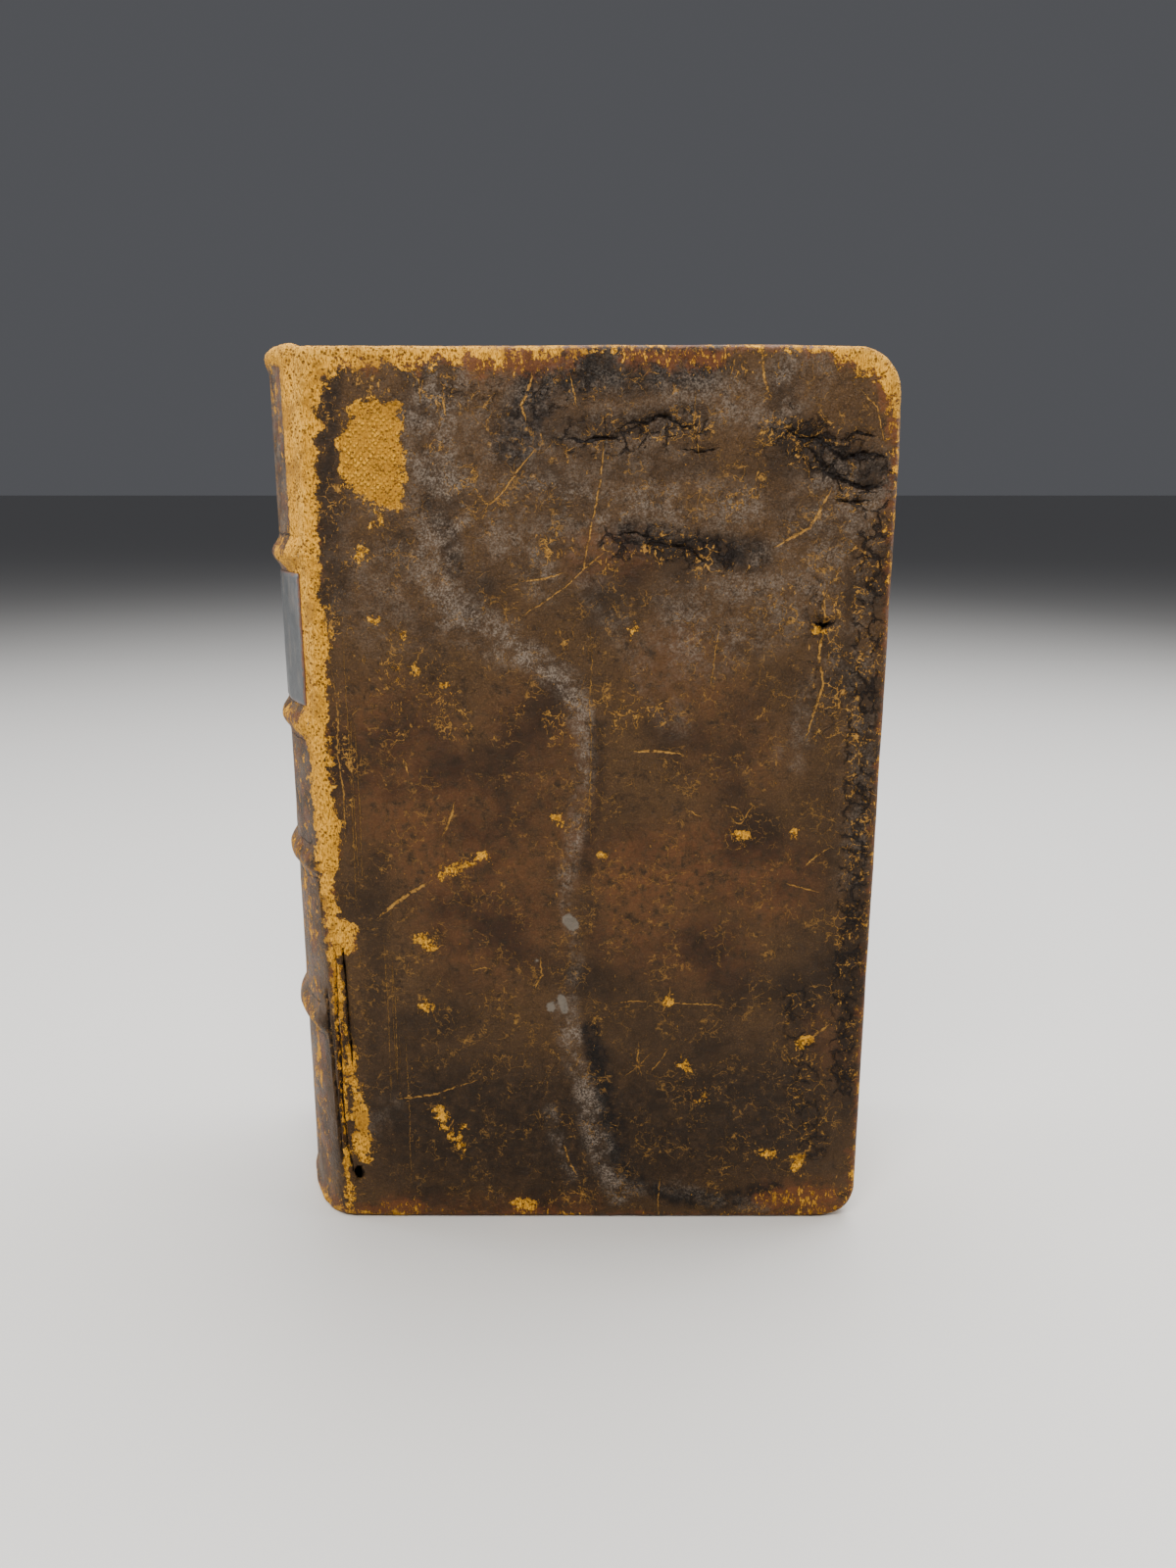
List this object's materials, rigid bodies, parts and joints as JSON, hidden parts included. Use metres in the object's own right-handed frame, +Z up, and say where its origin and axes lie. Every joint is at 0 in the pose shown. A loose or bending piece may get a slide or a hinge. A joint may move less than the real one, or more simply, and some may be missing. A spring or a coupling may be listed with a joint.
{
  "type": "antique leather book",
  "caption": "Thick antique book in full worn leather, with a round spine over raised bands and laced-in covers that open.",
  "frame": {"origin": "bottom centre of the whole book, on the surface that it stands on", "axes": "+Z up towards the head, -X towards the spine and +X towards the fore edge, -Y out of the front cover"},
  "size_m": [0.1434, 0.06, 0.21],
  "materials": {
    "leaves": "aged rag paper leaves, toned at the edges",
    "endpaper": "aged endpaper",
    "cover_leather": "dark brown calf, rubbed, cracked and scuffed to ochre suede",
    "label_leather": "thin dark blue-grey skiver, smooth",
    "pasteboard": "grey-brown pasteboard",
    "hemp_cord": "hemp sewing cord",
    "lining_paper": "pasted waste paper",
    "endband_thread": "thread wound over a core, faded"
  },
  "bodies": {
    "leaves_and_spine": {"back_flyleaf": "endpaper", "front_flyleaf": "endpaper", "headband": "endband_thread", "sewing_cord_1": "hemp_cord", "sewing_cord_2": "hemp_cord", "sewing_cord_3": "hemp_cord", "sewing_cord_4": "hemp_cord", "spine_label": "label_leather", "spine_leather": "cover_leather", "spine_lining_1": "lining_paper", "spine_lining_2": "lining_paper", "spine_lining_3": "lining_paper", "spine_lining_4": "lining_paper", "spine_lining_5": "lining_paper", "tailband": "endband_thread", "text_block": "leaves"},
    "front_cover": {"front_board": "pasteboard", "front_cord_slip_1": "hemp_cord", "front_cord_slip_2": "hemp_cord", "front_cord_slip_3": "hemp_cord", "front_cord_slip_4": "hemp_cord", "front_cover_leather": "cover_leather", "front_pastedown": "endpaper"},
    "back_cover": {"back_board": "pasteboard", "back_cord_slip_1": "hemp_cord", "back_cord_slip_2": "hemp_cord", "back_cord_slip_3": "hemp_cord", "back_cord_slip_4": "hemp_cord", "back_cover_leather": "cover_leather", "back_pastedown": "endpaper"}
  },
  "joints": [
    {"name": "front_cover_hinge", "type": "hinge", "parent": "leaves_and_spine", "child": "front_cover", "pos_m": [-0.05783, -0.0294, 0.105], "axis": [0, 0, -1], "range_deg": [0, 170]},
    {"name": "back_cover_hinge", "type": "hinge", "parent": "leaves_and_spine", "child": "back_cover", "pos_m": [-0.05783, 0.0294, 0.105], "axis": [0, 0, 1], "range_deg": [0, 170]}
  ]
}
